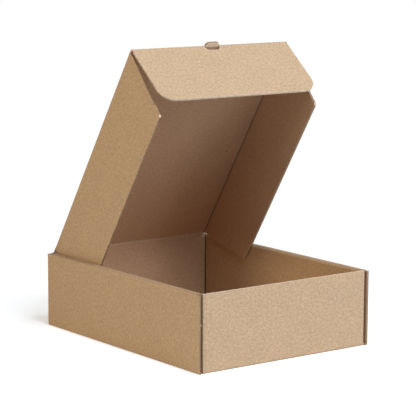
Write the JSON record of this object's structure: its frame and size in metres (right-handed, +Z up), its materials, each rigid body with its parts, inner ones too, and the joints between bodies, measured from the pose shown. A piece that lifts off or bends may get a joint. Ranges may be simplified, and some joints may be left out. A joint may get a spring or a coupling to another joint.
{
  "type": "cardboard mailer box",
  "caption": "Open folding box of plain corrugated board: a tray with rolled double side walls and a hinged lid whose flaps tuck inside.",
  "frame": {"origin": "middle of the tray's underside, on the surface it stands on", "axes": "+X to the right across the front wall, +Y from the front wall to the hinged back wall, +Z up"},
  "size_m": [0.28, 0.35, 0.3997],
  "materials": {
    "kraft_board": "matte brown kraft liner, unprinted"
  },
  "bodies": {
    "tray": {"tray": "kraft_board"},
    "lid": {"lid": "kraft_board"},
    "front_flap": {"front_flap": "kraft_board"},
    "left_flap": {"left_flap": "kraft_board"},
    "right_flap": {"right_flap": "kraft_board"}
  },
  "joints": [
    {"name": "lid_hinge", "type": "hinge", "parent": "tray", "child": "lid", "pos_m": [0, 0.1736, 0.1037], "axis": [-1, 0, 0], "range_deg": [-57.4, 122.6]},
    {"name": "front_flap_fold", "type": "hinge", "parent": "lid", "child": "front_flap", "pos_m": [0, -0.01147, 0.39308], "axis": [-1, 0, 0], "range_deg": [-7, 97.5]},
    {"name": "left_flap_fold", "type": "hinge", "parent": "lid", "child": "left_flap", "pos_m": [-0.1281, 0.08107, 0.24839], "axis": [0, -0.5388, 0.8425], "range_deg": [0, 30]},
    {"name": "right_flap_fold", "type": "hinge", "parent": "lid", "child": "right_flap", "pos_m": [0.1281, 0.08107, 0.24839], "axis": [0, 0.5388, -0.8425], "range_deg": [0, 30]}
  ]
}
